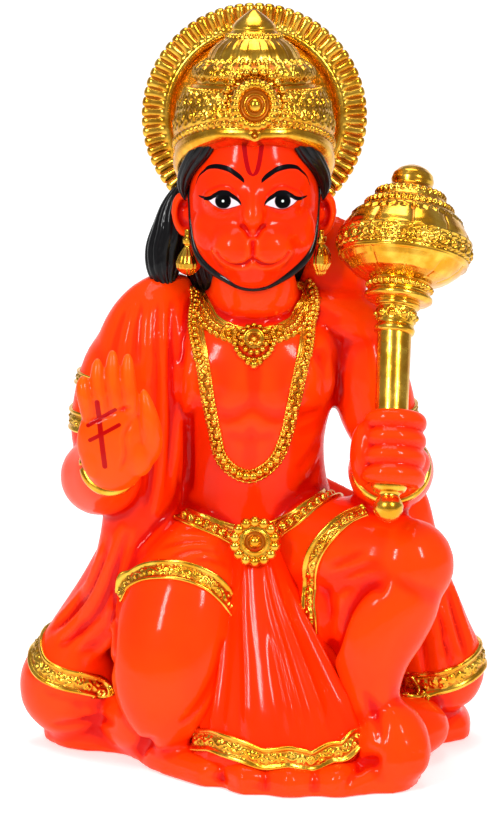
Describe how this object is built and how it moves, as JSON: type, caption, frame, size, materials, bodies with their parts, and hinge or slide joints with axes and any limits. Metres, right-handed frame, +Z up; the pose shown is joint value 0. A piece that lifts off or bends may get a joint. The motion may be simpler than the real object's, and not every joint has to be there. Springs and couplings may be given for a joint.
{
  "type": "kneeling hanuman figure",
  "caption": "Painted cast figure of a monkey-faced god kneeling on one knee, palm raised in blessing, mace held upright, with crown, round halo and cloak, on its own low ground.",
  "frame": {"origin": "on the flat underside of the ground that the figure kneels on, under the middle of the belt buckle", "axes": "+Z up, towards the crown; -Y the way the figure looks; +X towards the hand that holds the mace"},
  "size_m": [0.1583, 0.0991, 0.25],
  "materials": {
    "orange_paint": "glossy red-orange lacquer over cast resin",
    "gold_paint": "bright gold paint, rubbed, with the orange showing in the recesses",
    "black_paint": "glossy black paint"
  },
  "bodies": {
    "root": {"hanuman_figure": "orange_paint"}
  },
  "joints": []
}
